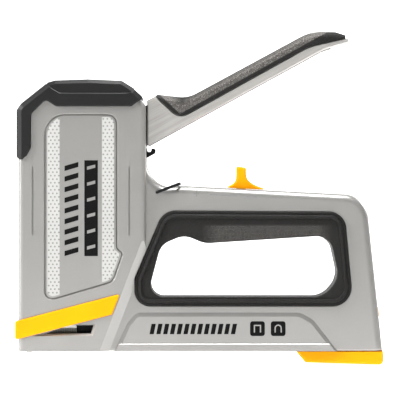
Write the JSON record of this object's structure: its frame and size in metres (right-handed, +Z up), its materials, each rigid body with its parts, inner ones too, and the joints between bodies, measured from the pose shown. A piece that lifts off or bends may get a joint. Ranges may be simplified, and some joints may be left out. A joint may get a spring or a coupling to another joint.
{
  "type": "hand staple gun",
  "caption": "Hand staple gun with squeeze lever, coil-spring striker, wire lock bail, power slider, pull-out staple magazine and a hand hole lined in rubber.",
  "frame": {"origin": "middle of the nose guide's working face, in the plane of the driver blade", "axes": "+X back towards the heel, +Z up towards the lever, +Y to the right-hand side; the tool stands as it is held on flat work"},
  "size_m": [0.2007, 0.037, 0.1818],
  "materials": {
    "cast_silver": "silver paint on cast aluminium, satin",
    "steel": "bare ground steel",
    "dark_steel": "blackened steel",
    "zinc_steel": "bright zinc plate",
    "black_rubber": "matte rubber",
    "black_plastic": "matte moulded plastic",
    "yellow_plastic": "satin moulded plastic"
  },
  "bodies": {
    "housing": {"left_housing": "cast_silver", "right_housing": "cast_silver", "housing_screws": "steel", "head_bumper": "black_plastic", "head_cap": "black_plastic", "nose_band": "yellow_plastic", "left_grip_liner": "black_rubber", "right_grip_liner": "black_rubber", "driver_guide": "steel", "magazine_channel": "steel", "staple_strip": "steel", "striker_buffer": "black_rubber", "spring_cap": "steel", "spring_guide_rod": "steel", "main_spring": "zinc_steel", "lever_pivot_pin": "steel", "latch_pin": "steel", "latch_spring": "zinc_steel"},
    "lever": {"lever": "cast_silver", "lever_grip": "black_rubber", "lever_arm": "dark_steel", "arm_rivets": "steel", "lift_pin": "steel", "lift_rollers": "steel"},
    "striker": {"plunger": "steel", "driver_blade": "steel", "blade_rivets": "steel"},
    "bail": {"lock_bail": "zinc_steel"},
    "power": {"power_slider": "yellow_plastic", "power_link": "zinc_steel"},
    "magazine": {"magazine_foot": "yellow_plastic", "staple_rail": "steel", "rail_pin": "steel", "pusher_spring": "zinc_steel"},
    "pusher": {"pusher": "black_plastic"},
    "latch": {"latch_button": "yellow_plastic"}
  },
  "joints": [
    {"name": "lever_press", "type": "hinge", "parent": "housing", "child": "lever", "pos_m": [0.0479, 0, 0.0986], "axis": [0, 1, 0], "range_deg": [0, 30], "stiffness_Nm_per_rad": 1.5, "springref_deg": -28.65, "deforming": ["main_spring"]},
    {"name": "striker_lift", "type": "slide", "parent": "housing", "child": "striker", "axis": [0, 0, 1], "range_m": [0, 0.0201]},
    {"name": "bail_swing", "type": "hinge", "parent": "housing", "child": "bail", "pos_m": [0.0696, 0, 0.0879], "axis": [0, -1, 0], "range_deg": [0, 71]},
    {"name": "power_slide", "type": "slide", "parent": "housing", "child": "power", "axis": [-0.9986, 0, 0.0523], "range_m": [0, 0.021]},
    {"name": "magazine_pull", "type": "slide", "parent": "housing", "child": "magazine", "axis": [1, 0, 0], "range_m": [0, 0.11]},
    {"name": "pusher_slide", "type": "slide", "parent": "magazine", "child": "pusher", "axis": [1, 0, 0], "range_m": [0, 0.09], "stiffness_N_per_m": 20, "springref_m": -0.05, "deforming": ["pusher_spring"]},
    {"name": "latch_press", "type": "hinge", "parent": "housing", "child": "latch", "pos_m": [0.183, 0, 0.0265], "axis": [0, 1, 0], "range_deg": [0, 6], "stiffness_Nm_per_rad": 0.1, "springref_deg": -11.46, "deforming": ["latch_spring"]}
  ],
  "couplings": [
    {"joint": "striker_lift", "follows": "lever_press", "m_per_rad": 0.03759}
  ]
}
